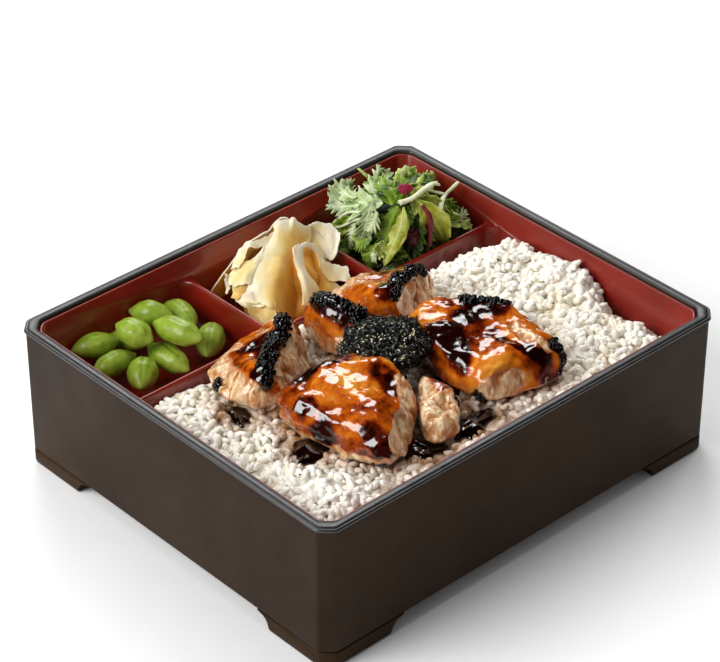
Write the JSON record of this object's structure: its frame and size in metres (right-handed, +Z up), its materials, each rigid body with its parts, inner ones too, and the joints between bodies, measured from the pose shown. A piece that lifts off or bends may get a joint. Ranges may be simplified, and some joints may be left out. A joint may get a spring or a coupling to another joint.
{
  "type": "bento box meal",
  "caption": "Footed rectangular bento box with a black rim and red divided tray, filled with rice, glazed grilled chicken pieces, shredded nori, edamame, sliced ginger and salad leaves",
  "frame": {"origin": "on the table, under the middle of the box", "axes": "+X right along the long front side, +Y to the side with the three small compartments, +Z up"},
  "size_m": [0.24, 0.208, 0.0887],
  "materials": {
    "lacquer_brown": "satin dark brown moulded plastic with a blacker rim",
    "lacquer_red": "glossy red lacquer-like plastic",
    "rice_white": "moist cooked short-grain rice",
    "glazed_chicken": "glossy amber to dark brown glaze over pale meat, char on the ridges",
    "nori_black": "dry black-green shreds with cream sesame seeds",
    "pod_green": "glossy fresh green",
    "ginger_cream": "wet translucent cream slices",
    "leaf_green": "fresh salad leaves, pale stems"
  },
  "bodies": {
    "root": {"box_shell": "lacquer_brown", "inner_tray": "lacquer_red", "rice": "rice_white", "nori_heap": "nori_black", "ginger_heap": "ginger_cream", "salad_heap": "leaf_green", "foot_front_left": "lacquer_brown", "foot_front_right": "lacquer_brown", "foot_back_right": "lacquer_brown", "foot_back_left": "lacquer_brown", "chicken_left": "glazed_chicken", "chicken_middle": "glazed_chicken", "chicken_back": "glazed_chicken", "chicken_right": "glazed_chicken", "chicken_front": "glazed_chicken", "chicken_small": "glazed_chicken", "edamame_01": "pod_green", "edamame_02": "pod_green", "edamame_03": "pod_green", "edamame_04": "pod_green", "edamame_05": "pod_green", "edamame_06": "pod_green", "edamame_07": "pod_green", "edamame_08": "pod_green", "edamame_09": "pod_green", "edamame_10": "pod_green"}
  },
  "joints": []
}
